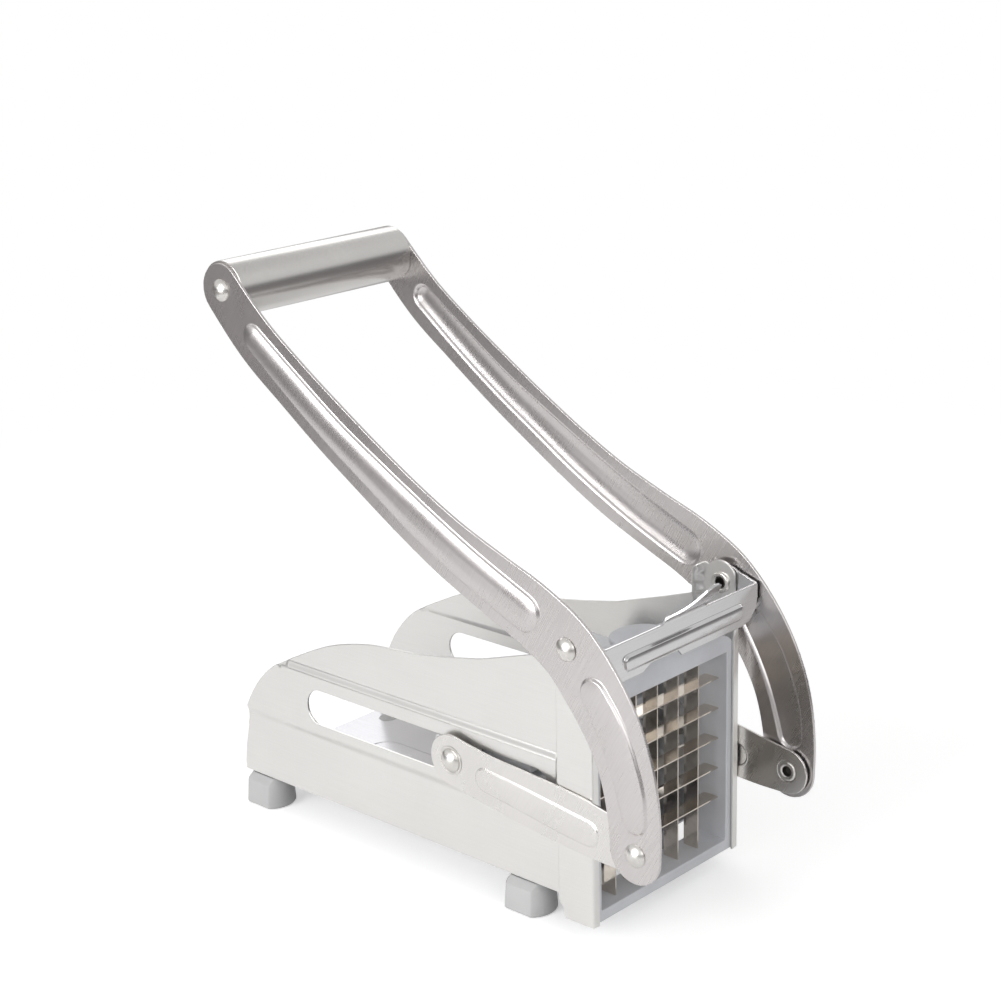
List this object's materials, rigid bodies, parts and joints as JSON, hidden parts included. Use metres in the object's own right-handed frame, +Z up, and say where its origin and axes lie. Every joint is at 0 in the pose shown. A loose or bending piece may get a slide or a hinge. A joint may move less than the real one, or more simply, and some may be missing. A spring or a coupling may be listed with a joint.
{
  "type": "french fry cutter",
  "caption": "Table-top lever press: a two-armed handle draws a studded pusher along a steel trough and through a square blade grid.",
  "frame": {"origin": "middle of the bounding box at rest, on the plane under the feet", "axes": "+X towards the blade end, +Z up, -Y the near side"},
  "size_m": [0.2194, 0.0962, 0.2241],
  "materials": {
    "panel_steel": "satin, fine brushed",
    "floor_steel": "satin",
    "arm_steel": "satin, brushed along the arm",
    "link_steel": "satin",
    "clip_steel": "satin, half polished",
    "grip_steel": "polished tube",
    "bracket_steel": "satin",
    "washer_steel": "satin",
    "rivet_steel": "polished dome",
    "blade_steel": "mirror polished",
    "cassette_plastic": "smooth matte",
    "foot_plastic": "smooth matte",
    "pusher_plastic": "smooth matte",
    "slide_plastic": "smooth matte"
  },
  "bodies": {
    "base": {"near_side_panel": "panel_steel", "far_side_panel": "panel_steel", "trough_floor": "floor_steel", "front_near_foot": "foot_plastic", "front_far_foot": "foot_plastic", "rear_near_foot": "foot_plastic", "rear_far_foot": "foot_plastic", "cassette_frame": "cassette_plastic", "upright_blades": "blade_steel", "level_blades": "blade_steel", "handle_pivot_rivets": "rivet_steel", "pivot_washers": "washer_steel"},
    "clip": {"blade_clip": "clip_steel"},
    "handle": {"near_arm": "arm_steel", "far_arm": "arm_steel", "grip_tube": "grip_steel", "grip_rod": "rivet_steel", "link_rivets": "rivet_steel", "link_washers": "washer_steel"},
    "near_link": {"near_link": "link_steel", "near_tail_rivet": "rivet_steel"},
    "far_link": {"far_link": "link_steel", "far_tail_rivet": "rivet_steel"},
    "pusher": {"pusher_plate": "pusher_plastic", "pusher_studs": "pusher_plastic", "pusher_bracket": "bracket_steel", "near_slide_block": "slide_plastic", "far_slide_block": "slide_plastic", "slide_pins": "rivet_steel"}
  },
  "joints": [
    {"name": "handle_press", "type": "hinge", "parent": "base", "child": "handle", "pos_m": [0.0697, 0, 0.1105], "axis": [0, -1, 0], "range_deg": [-50, 25]},
    {"name": "clip_swing", "type": "hinge", "parent": "base", "child": "clip", "pos_m": [0.0697, 0, 0.1105], "axis": [0, -1, 0], "range_deg": [0, 165]},
    {"name": "pusher_slide", "type": "slide", "parent": "base", "child": "pusher", "axis": [1, 0, 0], "range_m": [-0.0594, 0.0297]},
    {"name": "near_link_swing", "type": "hinge", "parent": "handle", "child": "near_link", "pos_m": [0.0992, -0.043, 0.043], "axis": [0, -1, 0], "range_deg": [-21.3, 42.6]},
    {"name": "far_link_swing", "type": "hinge", "parent": "handle", "child": "far_link", "pos_m": [0.0992, 0.043, 0.043], "axis": [0, -1, 0], "range_deg": [-21.3, 42.6]}
  ],
  "couplings": [
    {"joint": "pusher_slide", "follows": "handle_press", "m_per_rad": 0.068},
    {"joint": "near_link_swing", "follows": "handle_press", "ratio": -0.85},
    {"joint": "far_link_swing", "follows": "handle_press", "ratio": -0.85}
  ]
}
